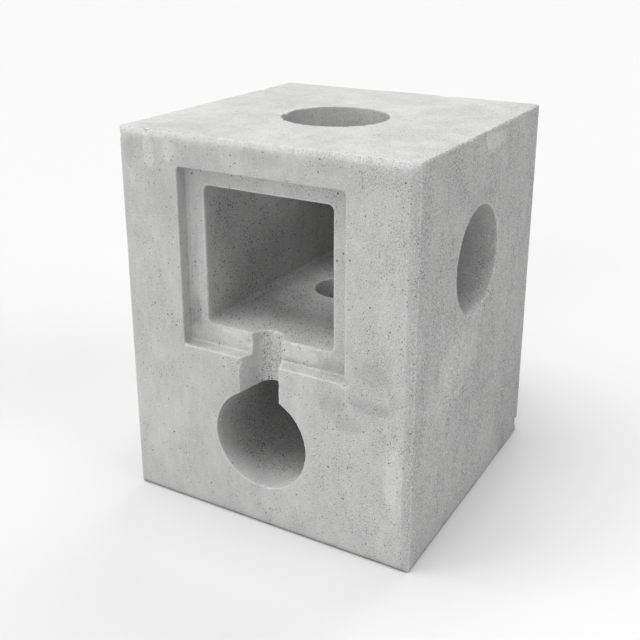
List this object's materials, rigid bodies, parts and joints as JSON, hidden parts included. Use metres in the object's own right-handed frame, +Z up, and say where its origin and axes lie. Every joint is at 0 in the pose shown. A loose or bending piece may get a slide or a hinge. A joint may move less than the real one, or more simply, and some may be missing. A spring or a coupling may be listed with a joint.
{
  "type": "precast concrete column base block",
  "caption": "Precast concrete base block for a lighting column, with a lidded cable chamber, a pole socket, a cable slot and round conduit holes.",
  "frame": {"origin": "middle of the underside of the block as it stands on its end", "axes": "+Z up the 500 mm length, -Y out of the face with the hatch and the pole socket, +X out of the side with the conduit hole"},
  "size_m": [0.406, 0.404, 0.5],
  "materials": {
    "concrete": "cast light grey concrete, matt, with fine air holes"
  },
  "bodies": {
    "root": {"base_block": "concrete"}
  },
  "joints": []
}
